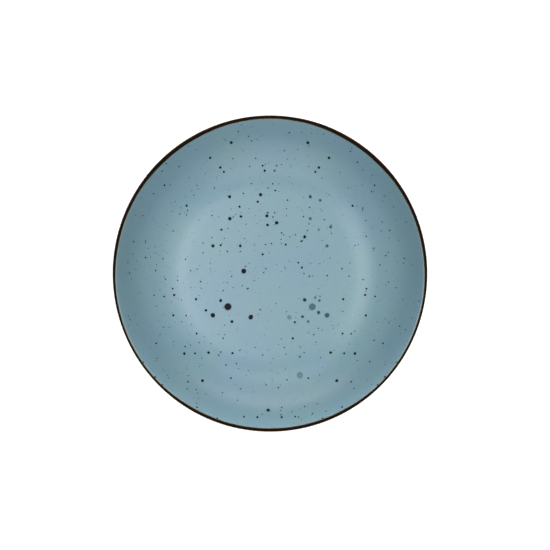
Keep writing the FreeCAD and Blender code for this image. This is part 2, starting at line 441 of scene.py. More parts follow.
@dataclass(frozen=True)
class BlueGlaze:
    """Blue stoneware glaze with a little iron, sprayed on and fired to a satin gloss.

    It reads as a milky grey-blue with a soft white sheen. It drifts between slate and teal over a
    few centimetres, is very slightly curdled closer to, and holds a faint pepper of iron.
    """

    slate: str = "#6F92A4"
    teal: str = "#71959E"
    curdled: str = "#7A9DA8"
    pepper: str = "#384951"
    thin: str = "#8D9597"  # towards the lip, where the coat ran thin and the pale clay comes through
    thin_share: float = 0.16
    thin_heights_mm: tuple[float, float] = (10.0, 38.0)  # from none to all of that share
    painted_lip_shade: str = "#464540"  # painted shade: the top of the lip's inner turn darkened, in place of the shade that falls there
    painted_lip_shade_share: float = 0.25
    painted_lip_shade_heights_mm: tuple[float, float] = (48.4, 49.0)
    curdled_share: float = 0.25
    pepper_share: float = 0.75
    drift_mm: float = 40.0
    curdle_mm: float = 4.5
    pepper_mm: float = 1.7  # spacing of the pepper, drawn about twice as coarse as it is, so that it shows
    peel_mm: float = 3.2
    peel_depth_mm: float = 0.006
    ring_mm: float = 1.6
    ring_depth_mm: float = 0.003
    roughness: float = 0.305
    roughness_spread: float = 0.025
    gloss: float = 0.625  # specular level, as for a glaze with an index of 1.57

    def colour(self, tree: NodeTree) -> NodeSocket:
        """Builds the glaze's colour, which specks and the dark lip also fade into.

        Args:
            tree: The material's node tree.

        Returns:
            The colour socket.
        """
        place = add(tree, "ShaderNodeTexCoord").outputs["Object"]
        noisy = {"Vector": place, "Scale": per_metre(self.drift_mm), "Detail": 1.0, "Roughness": 0.35}
        drift = add(tree, "ShaderNodeTexNoise", noisy).outputs["Fac"]
        ranged = {"Value": drift, "From Min": 0.25, "From Max": 0.75}
        drift = add(tree, "ShaderNodeMapRange", ranged, interpolation_type="SMOOTHSTEP").outputs[0]
        noisy = {"Vector": place, "Scale": per_metre(self.curdle_mm), "Detail": 3.0, "Roughness": 0.6}
        curdle = add(tree, "ShaderNodeTexNoise", noisy).outputs["Fac"]
        ranged = {"Value": curdle, "From Min": 0.4, "From Max": 0.9, "To Max": self.curdled_share}
        curdle = add(tree, "ShaderNodeMapRange", ranged).outputs[0]
        layers = [(drift, self.teal), (curdle, self.curdled)]

        height = add(tree, "ShaderNodeSeparateXYZ", {"Vector": place}).outputs["Z"]
        # paler where the coat runs thin towards the lip, and painted shade on the top of the lip's inner turn
        for tone, share, (low, high) in (
            (self.thin, self.thin_share, self.thin_heights_mm),
            (self.painted_lip_shade, self.painted_lip_shade_share, self.painted_lip_shade_heights_mm),
        ):
            ranged = {"Value": height, "From Min": low * MM, "From Max": high * MM, "To Max": share}
            layers.append((add(tree, "ShaderNodeMapRange", ranged).outputs[0], tone))

        cells = {"Vector": place, "Scale": per_metre(self.pepper_mm), "Randomness": 1.0}
        grains = add(tree, "ShaderNodeTexVoronoi", cells)
        size = add(tree, "ShaderNodeSeparateColor", {"Color": grains.outputs["Color"]}).outputs[0]
        ranged = {"Value": size, "From Min": 0.55, "From Max": 1.0, "To Min": 0.0, "To Max": 0.2}
        reach = add(tree, "ShaderNodeMapRange", ranged).outputs[0]
        inside = add(tree, "ShaderNodeMath", {0: reach, 1: grains.outputs["Distance"]}, operation="SUBTRACT")
        ranged = {"Value": inside.outputs[0], "From Min": 0.0, "From Max": 0.05, "To Max": self.pepper_share}
        layers.append((add(tree, "ShaderNodeMapRange", ranged).outputs[0], self.pepper))

        base = linear(self.slate)
        for share, tone in layers:
            mixed = {0: share, 6: base, 7: linear(tone)}
            base = add(tree, "ShaderNodeMix", mixed, data_type="RGBA").outputs[2]
        return base

    def relief(self, tree: NodeTree) -> NodeSocket:
        """Builds the glaze's orange peel and the faint turning rings that show through it.

        Args:
            tree: The material's node tree.

        Returns:
            The normal socket.
        """
        place = add(tree, "ShaderNodeTexCoord").outputs["Object"]
        noisy = {"Vector": place, "Scale": per_metre(self.peel_mm), "Detail": 1.0}
        peel = add(tree, "ShaderNodeTexNoise", noisy).outputs["Fac"]
        flat = add(tree, "ShaderNodeVectorMath", {0: place, 1: (1, 1, 0)}, operation="MULTIPLY").outputs[0]
        radius = add(tree, "ShaderNodeVectorMath", {0: flat}, operation="LENGTH").outputs["Value"]
        noisy = {"W": radius, "Scale": per_metre(self.ring_mm), "Detail": 1.0}
        rings = add(tree, "ShaderNodeTexNoise", noisy, noise_dimensions="1D").outputs["Fac"]
        bumped = {"Height": peel, "Distance": self.peel_depth_mm * MM}
        skin = add(tree, "ShaderNodeBump", bumped).outputs["Normal"]
        bumped = {"Height": rings, "Distance": self.ring_depth_mm * MM, "Normal": skin}
        return add(tree, "ShaderNodeBump", bumped).outputs["Normal"]

    def material(self) -> Material:
        """Makes the glaze as a material.

        Returns:
            The material.
        """
        material, tree = new_material("blue_stoneware_glaze_satin")
        place = add(tree, "ShaderNodeTexCoord").outputs["Object"]
        noisy = {"Vector": place, "Scale": per_metre(self.drift_mm), "Detail": 3.0}
        patches = add(tree, "ShaderNodeTexNoise", noisy).outputs["Fac"]
        low, high = self.roughness - self.roughness_spread, self.roughness + self.roughness_spread
        ranged = {"Value": patches, "To Min": low, "To Max": high}
        roughness = add(tree, "ShaderNodeMapRange", ranged).outputs[0]
        coated = {"Base Color": self.colour(tree), "Roughness": roughness, "Normal": self.relief(tree)}
        shader = add(tree, "ShaderNodeBsdfPrincipled", {**coated, "Specular IOR Level": self.gloss})
        add(tree, "ShaderNodeOutputMaterial", {"Surface": shader.outputs[0]})
        return material


@dataclass(frozen=True)
class LipOxide:
    """Iron and manganese oxide wash, brushed on the lip and fired dry.

    It reads as a matt brown-black that shows hardly any gloss. Where the brush left it thin, at
    both edges, it breaks through golden olive into the blue. It ran off the outermost turn and is
    red-brown there, in patches and streaks of a few centimetres between darker stretches.
    """

    body: str = "#100B08"
    turn: str = "#6E4423"  # on the outermost turn, where the wash ran off
    outside: str = "#21160F"
    break_: str = "#5E4A14"
    edge_mm: float = 0.62  # how wide the inner edge's break is
    feather_mm: float = 0.2  # over how much of that it goes into the blue
    streak_mm: float = 2.4
    streak_reach_mm: tuple[float, float] = (0.2, 0.8)  # how far the streaks reach, inside and outside
    streak_relief_mm: float = 0.03
    turn_mm: tuple[float, float, float] = (-1.2, -0.3, 1.3)  # where the turn's colour starts, fills, ends
    last_mm: tuple[float, float] = (1.4, 0.5)  # before the outer edge, where the wash thins and has thinned
    patch_mm: float = 21.0
    patch_share: float = 0.85  # how much of the turn's colour is gone in the darker stretches
    edge_share: float = 0.85  # how much of the wash is gone at both edges
    roughness: float = 0.7
    gloss: float = 0.03

    def wash(self, share: NodeSocket, turn: str, turn_at: float, run_end: float) -> NodeSocket:
        """Runs the wash's colours across the lip.

        Args:
            share: The socket with the share of the way across, from the inner to the outer edge.
            turn: The colour on the outermost turn.
            turn_at: The run in millimetres at which the lip is widest.
            run_end: The run in millimetres at which the band ends on the outside.

        Returns:
            The colour socket.
        """
        starts, fills, ends = (turn_at + away for away in self.turn_mm)
        thins, thinned = (run_end - away for away in self.last_mm)
        stops = (
            (0.45 * self.edge_mm, self.break_),
            (self.edge_mm, self.body),
            (starts, self.body),
            (fills, turn),
            (ends, self.outside),
            (thins, self.outside),
            (thinned, self.break_),
        )
        return ramp(share.id_data, share, tuple((run / run_end, tone) for run, tone in stops))

    def material(self, glaze: BlueGlaze, turn_at: float, run_end: float) -> Material:
        """Makes the wash as a material.

        Args:
            glaze: The glaze that it thins into.
            turn_at: The run in millimetres at which the lip is widest.
            run_end: The run in millimetres at which the band ends on the outside.

        Returns:
            The material.
        """
        material, tree = new_material("iron_oxide_wash_brushed_matt")
        place = add(tree, "ShaderNodeTexCoord").outputs["Object"]
        run = add(tree, "ShaderNodeAttribute", attribute_name="run").outputs["Fac"]
        noisy = {"Vector": place, "Scale": per_metre(self.streak_mm), "Detail": 3.0}
        streak = add(tree, "ShaderNodeTexNoise", noisy).outputs["Fac"]
        (inner, outer), starts = self.streak_reach_mm, turn_at + self.turn_mm[0]
        reach = {"Value": run, "From Min": starts, "From Max": turn_at, "To Min": inner, "To Max": outer}
        reach = add(tree, "ShaderNodeMapRange", reach).outputs[0]
        shift = add(tree, "ShaderNodeMapRange", {"Value": streak, "To Min": -1.0}).outputs[0]
        run = add(tree, "ShaderNodeMath", {0: shift, 1: reach, 2: run}, operation="MULTIPLY_ADD").outputs[0]
        share = add(tree, "ShaderNodeMath", {0: run, 1: run_end}, operation="DIVIDE").outputs[0]
        noisy = {"Vector": place, "Scale": per_metre(self.patch_mm), "Detail": 4.0, "Roughness": 0.65}
        patch = add(tree, "ShaderNodeTexNoise", noisy).outputs["Fac"]
        ranged = {"Value": patch, "From Min": 0.42, "From Max": 0.64, "To Max": self.patch_share}
        patch = add(tree, "ShaderNodeMapRange", ranged, interpolation_type="SMOOTHSTEP").outputs[0]
        washed, dark = (self.wash(share, tone, turn_at, run_end) for tone in (self.turn, self.outside))
        wash = add(tree, "ShaderNodeMix", {0: patch, 6: washed, 7: dark}, data_type="RGBA").outputs[2]
        blue = glaze.colour(tree)
        for near, far in ((self.feather_mm, 0.0), (run_end - self.last_mm[1], run_end)):
            gone = {"Value": run, "From Min": near, "From Max": far, "To Max": self.edge_share}
            gone = add(tree, "ShaderNodeMapRange", gone, interpolation_type="SMOOTHSTEP").outputs[0]
            mixed = {0: gone, 6: wash, 7: blue}
            wash = add(tree, "ShaderNodeMix", mixed, data_type="RGBA").outputs[2]

        bumped = {"Height": streak, "Distance": self.streak_relief_mm * MM}
        normal = add(tree, "ShaderNodeBump", bumped).outputs["Normal"]
        painted = {"Base Color": wash, "Roughness": self.roughness, "Normal": normal}
        shader = add(tree, "ShaderNodeBsdfPrincipled", {**painted, "Specular IOR Level": self.gloss})
        add(tree, "ShaderNodeOutputMaterial", {"Surface": shader.outputs[0]})
        return material


@dataclass(frozen=True)
class IronSpeck:
    """Iron grit that melted in the glaze and spread: brown-black and dull, with a thin grey halo.

    The mesh's core attribute is 1 in the grit and 0 where the halo has faded into the glaze, and
    its veil attribute is the share of the grit that the glaze lets through. In pale colours it makes
    painted highlights: small light dots that stand in for glints on the glaze.
    """

    name: str = "iron_grit_melted_dull"
    grit: str = "#120E0D"
    halo: str = "#56605F"
    grain_mm: float = 0.4
    roughness: float = 0.6
    gloss: float = 0.08

    def material(self, glaze: BlueGlaze) -> Material:
        """Makes the speck as a material.

        Args:
            glaze: The glaze that the speck sits in.

        Returns:
            The material.
        """
        material, tree = new_material(self.name)
        place = add(tree, "ShaderNodeTexCoord").outputs["Object"]
        core = add(tree, "ShaderNodeAttribute", attribute_name="core").outputs["Fac"]
        veil = add(tree, "ShaderNodeAttribute", attribute_name="veil").outputs["Fac"]
        noisy = {"Vector": place, "Scale": per_metre(self.grain_mm), "Detail": 2.0}
        grain = add(tree, "ShaderNodeTexNoise", noisy).outputs["Fac"]
        blue = glaze.colour(tree)
        ringed = {0: core, 6: blue, 7: linear(self.halo)}
        halo = add(tree, "ShaderNodeMix", ringed, data_type="RGBA").outputs[2]
        solid = {"Value": core, "From Min": 0.35, "From Max": 0.8}
        solid = add(tree, "ShaderNodeMapRange", solid, interpolation_type="SMOOTHSTEP").outputs[0]
        mottled = {"Value": grain, "From Min": 0.3, "From Max": 0.7, "To Min": 0.92, "To Max": 1.0}
        mottled = add(tree, "ShaderNodeMapRange", mottled).outputs[0]
        solid = add(tree, "ShaderNodeMath", {0: solid, 1: mottled}, operation="MULTIPLY").outputs[0]
        filled = {0: solid, 6: halo, 7: linear(self.grit)}
        grit = add(tree, "ShaderNodeMix", filled, data_type="RGBA").outputs[2]
        seen = add(tree, "ShaderNodeMix", {0: veil, 6: blue, 7: grit}, data_type="RGBA").outputs[2]
        dull = {"Base Color": seen, "Roughness": self.roughness, "Specular IOR Level": self.gloss}
        shader = add(tree, "ShaderNodeBsdfPrincipled", dull)
        add(tree, "ShaderNodeOutputMaterial", {"Surface": shader.outputs[0]})
        return material


@dataclass(frozen=True)
class BuffClay:
    """Buff stoneware, turned on the wheel and fired bare: dry, toasted, with dark iron grit."""

    body: str = "#B79E80"
    toasted: str = "#9C7B5A"
    grit: str = "#4A3828"
    toast_mm: float = 18.0
    grain_mm: float = 0.7
    grain_relief_mm: float = 0.05
    grit_mm: float = 1.4
    roughness: float = 0.85
    gloss: float = 0.2

    def material(self) -> Material:
        """Makes the clay as a material.

        Returns:
            The material.
        """
        material, tree = new_material("buff_stoneware_turned_bare")
        place = add(tree, "ShaderNodeTexCoord").outputs["Object"]
        noisy = {"Vector": place, "Scale": per_metre(self.toast_mm), "Detail": 3.0}
        toast = add(tree, "ShaderNodeTexNoise", noisy).outputs["Fac"]
        ranged = {"Value": toast, "From Min": 0.35, "From Max": 0.7}
        toast = add(tree, "ShaderNodeMapRange", ranged).outputs[0]
        noisy = {"Vector": place, "Scale": per_metre(self.grain_mm), "Detail": 3.0}
        grain = add(tree, "ShaderNodeTexNoise", noisy).outputs["Fac"]
        cells = {"Vector": place, "Scale": per_metre(self.grit_mm)}
        grit = add(tree, "ShaderNodeTexVoronoi", cells).outputs["Distance"]
        grit = add(tree, "ShaderNodeMapRange", {"Value": grit, "From Min": 0.2, "From Max": 0.12}).outputs[0]
        base = linear(self.body)
        for share, tone in ((toast, self.toasted), (grit, self.grit)):
            mixed = {0: share, 6: base, 7: linear(tone)}
            base = add(tree, "ShaderNodeMix", mixed, data_type="RGBA").outputs[2]
        bumped = {"Height": grain, "Distance": self.grain_relief_mm * MM}
        normal = add(tree, "ShaderNodeBump", bumped).outputs["Normal"]
        dry = {"Base Color": base, "Roughness": self.roughness, "Normal": normal}
        shader = add(tree, "ShaderNodeBsdfPrincipled", {**dry, "Specular IOR Level": self.gloss})
        add(tree, "ShaderNodeOutputMaterial", {"Surface": shader.outputs[0]})
        return material


# ---------------------------------------------------------------- pieces


def finished(mesh: BMesh, name: str, material: Material) -> Object:
    """Turns a finished bmesh into a piece that rides on the bowl.

    Args:
        mesh: The shape, in the bowl's own place. It is freed.
        name: The piece's name.
        material: Its finish.

    Returns:
        The piece.
    """
    for face in mesh.faces:
        face.smooth = True
    data = bpy.data.meshes.new(name)
    mesh.to_mesh(data)
    mesh.free()
    data.materials.append(material)
    piece = bpy.data.objects.new(name, data)
    bpy.context.scene.collection.objects.link(piece)
    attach(piece, BODY)
    triangles = sum(len(polygon.vertices) - 2 for polygon in data.polygons)
    log.info("%s: %d triangles", name, triangles)
    return piece


def swell(mesh: BMesh, height: Callable[[float, Vector], float]) -> None:
    """Moves the finished surface of a turned shell in or out along its own normals.

    Args:
        mesh: A shell made by Outline.turned.
        height: Gives how far a point moves out, in metres, from its run and its place.
    """
    layer = mesh.verts.layers.float["run"]
    mesh.normal_update()
    moves = [(vert, vert.normal * height(vert[layer], vert.co)) for vert in mesh.verts if vert[layer] >= 0]
    for vert, move in moves:
        vert.co += move


def settle(mesh: BMesh) -> None:
    """Draws a turned shell slightly oval, as the bowl went in the drying and the firing."""
    bmesh.ops.scale(mesh, verts=mesh.verts, vec=(1 - OVAL, 1 + OVAL, 1.0))


@dataclass
class BrushedEdge:
    """One edge of the dark lip, which wavers along an arc of the section as the brush went round."""

    arc: Arc
    nominal: float  # the angle at which the template has the edge
    angle_at: Callable[[float], float]  # the angle at which the brush left it, by azimuth

    def drag(self, mesh: BMesh, pivot: float) -> None:
        """Stretches what lies between a still place and the edge, so that it ends at the wavering edge.

        Args:
            mesh: The shell to stretch.
            pivot: The angle that stays where it is.
        """
        low, high = sorted((pivot, self.nominal))
        tolerance = 0.01
        for vert in mesh.verts:
            radius = math.hypot(vert.co.x, vert.co.y)
            away = math.dist((radius, vert.co.z), self.arc.centre)
            angle = self.arc.angle_of(radius, vert.co.z)
            if abs(away - self.arc.radius) > MM or not low - tolerance <= angle <= high + tolerance:
                continue
            azimuth = math.atan2(vert.co.y, vert.co.x)
            scale = (self.angle_at(azimuth) - pivot) / (self.nominal - pivot)
            turned = pivot + (angle - pivot) * scale
            new_radius = self.arc.centre[0] + away * math.sin(turned)
            height = self.arc.centre[1] - away * math.cos(turned)
            vert.co = (new_radius * math.cos(azimuth), new_radius * math.sin(azimuth), height)


@dataclass
class LipBrushwork:
    """How the brush went round the lip.

    The dark part is widest either side of the far edge, and thinnest a little nearer than the sides.
    """

    section: Section
    widths_mm: tuple[tuple[float, float], ...] = (
        (-90.0, 2.3),
        (-62.0, 2.2),
        (-42.0, 1.52),
        (-25.0, 1.52),
        (-12.0, 1.65),
        (15.0, 2.22),
        (30.0, 2.35),
        (48.0, 2.8),
        (60.0, 2.78),
        (77.0, 2.4),
        (90.0, 2.28),
    )  # (degrees round from either side towards the far edge, width of the dark part from above)
    fringe_mm: float = 0.3  # how far the wash thins out past the dark part
    waver_mm: float = 0.05
    drop_waver_mm: float = 0.45  # of the edge on the outside
    fine_waves: float = 9.0  # about how many there are over a radius's length of the rim
    slow_waves: float = 2.5
    least_left: float = 0.03  # radians of the lip's inside that stay blue, however wide the dark part is

    def width(self, azimuth: float) -> float:
        """Finds how wide the band is, seen from above.

        Args:
            azimuth: The direction from the bowl's axis.

        Returns:
            The width in metres.
        """
        turned = math.degrees(math.asin(math.sin(azimuth)))
        keys = self.widths_mm
        width = keys[-1][1]
        for (start, first), (end, second) in zip(keys, keys[1:]):
            if turned <= end:
                width = first + (second - first) * smooth((turned - start) / (end - start))
                break
        wander = noise.noise(Vector((math.cos(azimuth), math.sin(azimuth), 0.3)) * self.fine_waves)
        return (width + self.fringe_mm + self.waver_mm * wander) * MM

    def inner_edge(self) -> BrushedEdge:
        """Finds the edge on the inside of the lip.

        Returns:
            The edge.
        """
        lip = self.section.banded_lip
        furthest = self.section.lip.start - self.least_left

        def angle(azimuth: float) -> float:
            """The angle at which the dark lip starts."""
            return min(math.pi - math.asin((lip.radius - self.width(azimuth)) / lip.radius), furthest)

        return BrushedEdge(lip, lip.start, angle)

    def outer_edge(self) -> BrushedEdge:
        """Finds the edge on the outside, below the lip.

        Returns:
            The edge.
        """
        back = self.section.banded_back

        def angle(azimuth: float) -> float:
            """Finds the angle at which the dark lip ends.

            Args:
                azimuth: The direction from the bowl's axis.

            Returns:
                The angle about the centre of the bowl's back.
            """
            around = Vector((math.cos(azimuth), math.sin(azimuth), 4.7))
            wander = noise.noise(around * self.slow_waves) + 0.4 * noise.noise(around * self.fine_waves)
            return back.end + self.drop_waver_mm * MM * wander / back.radius

        return BrushedEdge(back, back.end, angle)


@dataclass
class GlazeCoats:
    """The three coats of blue glaze: over the inside, over the outside, and in the foot's recess."""

    section: Section
    brushwork: LipBrushwork
    finish: BlueGlaze = field(default_factory=BlueGlaze)
    turn_steps: int = 320
    spacing: float = 1.0 * MM
    under_spacing: float = 5.0 * MM
    wander_mm: float = 0.03  # how uneven the coat is
    wander_size_mm: float = 22.0
    roll_height: float = 0.22 * MM  # the bead in which the glaze ends on the foot
    roll_width_mm: float = 1.5

    def __post_init__(self) -> None:
        """Makes the glaze's material once for all three coats."""
        self.material = self.finish.material()

    def uneven(self, place: Vector) -> float:
        """How much thicker or thinner the coat is at a place, in metres."""
        return self.wander_mm * MM * noise.noise(place * per_metre(self.wander_size_mm))

    def rolled(self, short: float) -> float:
        """How the glaze stands up, and then tucks in, where it ends on bare clay.

        Args:
            short: The distance left to the glaze line, in millimetres.

        Returns:
            The height in metres.
        """
        bead = self.roll_height * math.sin(math.pi * smooth(short / self.roll_width_mm)) if short > 0 else 0.0
        closing = 1 - smooth(short / (0.25 * self.roll_width_mm))
        return bead - closing * 0.8 * self.section.glaze_thickness

    def turned(self, path: list[Stretch], spacing: float) -> BMesh:
        """Turns a coat.

        Args:
            path: The stretches of the section that it covers.
            spacing: The distance between points on its finished surface.

        Returns:
            The coat's shell.
        """
        outline = Outline()
        outline.coat(path, spacing, self.under_spacing, self.section.glaze_thickness)
        return outline.turned(self.turn_steps)

    def inside(self) -> Object:
        """Makes the coat over the inside, which the food touches.

        Returns:
            The piece.
        """
        section = self.section
        mesh = self.turned(section.inside, self.spacing)
        self.brushwork.inner_edge().drag(mesh, section.lip.start)
        swell(mesh, lambda run, place: self.uneven(place))
        return self.dressed(mesh, "glaze_inside", "inside_glaze")

    def outside(self) -> Object:
        """Makes the coat over the outside, from under the dark lip to the foot.

        Returns:
            The piece.
        """
        section = self.section
        mesh = self.turned(section.outside, self.spacing / 2)
        self.brushwork.outer_edge().drag(mesh, section.back.end)
        length = sum(stretch.length for stretch in section.outside) / MM
        swell(mesh, lambda run, place: self.uneven(place) + self.rolled(length - run))
        return self.dressed(mesh, "glaze_outside", "outside_glaze")

    def recess(self) -> Object:
        """Makes the coat in the recess inside the foot ring.

        Returns:
            The piece.
        """
        mesh = self.turned(self.section.recess, self.spacing)
        swell(mesh, lambda run, place: self.uneven(place) + self.rolled(run))
        return self.dressed(mesh, "glaze_foot_recess", "foot_recess_glaze")

    def dressed(self, mesh: BMesh, name: str, node: str) -> Object:
        """Finishes a coat and lets it stand for its CAD node.

        Args:
            mesh: The coat's shell.
            name: The piece's name.
            node: The CAD node's name.

        Returns:
            The piece.
        """
        settle(mesh)
        piece = finished(mesh, name, self.material)
        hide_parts(node)
        return piece


@dataclass
class LipBand:
    """The dark band of oxide wash over the lip."""

    section: Section
    brushwork: LipBrushwork
    glaze: BlueGlaze
    finish: LipOxide = field(default_factory=LipOxide)
    turn_steps: int = 480
    spacing: float = 0.22 * MM
    proud: float = 0.05 * MM
    feather_mm: float = 0.45

    def build(self) -> None:
        """Makes the band and lets it stand for its CAD node."""
        section = self.section
        length = sum(stretch.length for stretch in section.band) / MM
        lip = section.banded_lip
        turn_at = lip.radius * (lip.start - math.pi / 2) / MM
        outline = Outline()
        outline.coat(section.band, self.spacing, 2 * self.spacing, section.glaze_thickness)
        mesh = outline.turned(self.turn_steps)
        self.brushwork.inner_edge().drag(mesh, section.banded_lip.end)
        self.brushwork.outer_edge().drag(mesh, section.banded_back.start)
        swell(mesh, lambda run, place: self.proud * smooth(min(run, length - run) / self.feather_mm))
        settle(mesh)
        piece = finished(mesh, "lip_band", self.finish.material(self.glaze, turn_at, length))
        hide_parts("rim_band")


@dataclass
class ClayBody:
    """The fired clay under the coats, bare on the foot ring, where the turning tool's lines show."""

    section: Section
    finish: BuffClay = field(default_factory=BuffClay)
    turn_steps: int = 256
    spacing: float = 2.0 * MM
    foot_spacing: float = 0.15 * MM
    groove_depth: float = 0.05 * MM
    groove_pitch_mm: float = 0.7
    groove_fade_mm: float = 6.0  # over what length a groove comes and goes

    def build(self) -> None:
        """Makes the body and lets it stand for its CAD node."""
        section = self.section
        depth = section.glaze_thickness
        outline = Outline()
        outline.under(section.inside + section.band + section.outside, self.spacing, depth)
        outline.over(section.bare_foot, self.foot_spacing)
        outline.under(section.recess, self.spacing, depth)
        mesh = outline.turned(self.turn_steps)

        def groove(run: float, place: Vector) -> float:
            """Cuts the turning tool's line, which spirals over the bare foot.

            Args:
                run: How far along the bare foot a point lies, in millimetres.
                place: The point.

            Returns:
                How far the point moves out, in metres.
            """
            turn = math.atan2(place.y, place.x) / math.tau
            line = 0.5 - 0.5 * math.cos(math.tau * (run / self.groove_pitch_mm + turn))
            uneven = 0.6 + 0.4 * noise.noise(place * per_metre(self.groove_fade_mm))
            return -self.groove_depth * line * uneven

        swell(mesh, groove)
        settle(mesh)
        piece = finished(mesh, "clay_body_turned", self.finish.material())
        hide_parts("clay_body")


@dataclass(frozen=True)
class SpeckPlace:
    """Where one speck sits: its middle and radius in metres, and how much of it the glaze lets show."""

    middle: Vector
    radius: float
    veil: float = 1.0


def specks_of(node: str) -> list[SpeckPlace]:
    """Reads the specks of a CAD node, one for each separate plug.

    Args:
        node: The node's name.

    Returns:
        Their places, in the order of the node's vertices.
    """
    mesh = bmesh.new()
    mesh.from_mesh(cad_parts[node].data)
    bmesh.ops.remove_doubles(mesh, verts=mesh.verts, dist=WELD)
    for vert in mesh.verts:
        vert.tag = False
    places = []
    for first in mesh.verts:
        if first.tag:
            continue
        first.tag = True
        island = [first]
        for vert in island:
            for edge in vert.link_edges:
                other = edge.other_vert(vert)
                if not other.tag:
                    other.tag = True
                    island.append(other)
        middle = sum((vert.co for vert in island), Vector()) / len(island)
        radius = max((vert.co - middle).length for vert in island)
        places.append(SpeckPlace(middle, radius))
    mesh.free()
    return places


class Side(Enum):
    """The side of the bowl that a speck is on."""

    INSIDE = "inside"
    OUTSIDE = "outside"


@dataclass
class SpeckSeat:
    """The finished surface of a glaze coat, on which specks are seated."""

    coat: Object
    side: Side

    def __post_init__(self) -> None:
        """Prepares the search of the coat's surface."""
        mesh = bmesh.new()
        mesh.from_mesh(self.coat.data)
        self.tree = BVHTree.FromBMesh(mesh)
        mesh.free()

    def under(self, x: float, y: float) -> Vector:
        """Finds the place on the coat straight below a point of the plan, or above it for the outside.

        Args:
            x: The point's place along X.
            y: The point's place along Y.

        Returns:
            The place.
        """
        far = 1.0 if self.side is Side.INSIDE else -1.0
        place, _, _, _ = self.tree.ray_cast(Vector((x, y, far)), Vector((0, 0, -far)))
        return place

    def seated(self, point: Vector, height: float) -> Vector:
        """The point of space at a height over the surface nearest to a point."""
        place, normal, _, _ = self.tree.find_nearest(point)
        return place + normal * height


@dataclass
class SpeckField:
    """A group of specks of one kind: low domes with a thin halo, each a little out of round."""

    name: str
    seat: SpeckSeat
    material: Material
    slot: str
    segments: int = 20
    dome: float = 0.05 * MM
    halo_share: float = 0.16  # the halo's width as a share of the speck's radius
    lopsided: float = 0.08
    stretch: float = 0.1
    run_share: float = 0.65  # how far a speck ran down a slope: at 1 it looks round from above
    longest_run: float = 0.7  # the most that the run adds, as a share of the speck's length
    simple: bool = False  # few faces, for specks that repeat by the hundred
    seed: int = 3

    def one(self) -> BMesh:
        """Makes one speck of radius 1, lying flat, with heights as shares of the dome's.

        Returns:
            The speck's mesh.
        """
        outline = Outline()
        core = outline.mesh.verts.layers.float.new("core")
        wide = 1 + self.halo_share
        rings = [(0.0, 1.0, 1.0), (0.6, 0.75, 1.0), (0.92, 0.3, 0.9), (wide, 0.06, 0.0)]
        if self.simple:
            rings = [(0.0, 1.0, 1.0), (0.8, 0.5, 1.0), (wide, 0.06, 0.0)]
        hidden = [(0.9 * wide, -2.0, 0.0), (0.0, -2.0, 0.0)]
        for radius, height, share in rings + hidden:
            outline.to((radius, height))
            outline.tip[core] = share
        return outline.turned(self.segments)

    def build(self, places: list[SpeckPlace], node: str | None = None) -> None:
        """Makes the group.

        Args:
            places: Where the specks sit.
            node: The CAD node that the group stands for.
        """
        chance = random.Random(self.seed)
        template = bpy.data.meshes.new("speck")
        shape = self.one()
        shape.to_mesh(template)
        shape.free()
        mesh = bmesh.new()
        mesh.verts.layers.float.new("veil")
        for place in places:
            count = len(mesh.verts)
            mesh.from_mesh(template)
            mesh.verts.ensure_lookup_table()
            veil = mesh.verts.layers.float["veil"]
            middle = self.seat.seated(place.middle, 0.0)
            normal = (self.seat.seated(place.middle, MM) - middle).normalized()
            lie = normal.to_track_quat("Z", "Y").to_matrix()
            turn = Matrix.Rotation(chance.uniform(0, math.tau), 3, "Z")
            longer = 1 + self.stretch * chance.random() ** 2
            squash = Matrix.Diagonal((longer, 1 / longer, 1.0))
            phase = Vector((chance.uniform(-50, 50), chance.uniform(-50, 50), 0))
            downhill = (normal * normal.z - Vector((0, 0, 1))).normalized()
            run = downhill * min(self.run_share * (1 / abs(normal.z) - 1), self.longest_run)
            height = self.dome * min(1.0, place.radius / MM)
            for vert in mesh.verts[count:]:
                flat = Vector((vert.co.x, vert.co.y, 0))
                lobe = 1 + self.lopsided * noise.noise(flat.normalized() * 1.3 + phase)
                spot = lie @ (turn @ squash @ flat) * (place.radius * lobe)
                spot += run * spot.dot(downhill)
                vert.co = self.seat.seated(middle + spot, vert.co.z * height)
                vert[veil] = place.veil
        bpy.data.meshes.remove(template)
        piece = finished(mesh, self.name, self.material)
        if node:
            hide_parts(node)


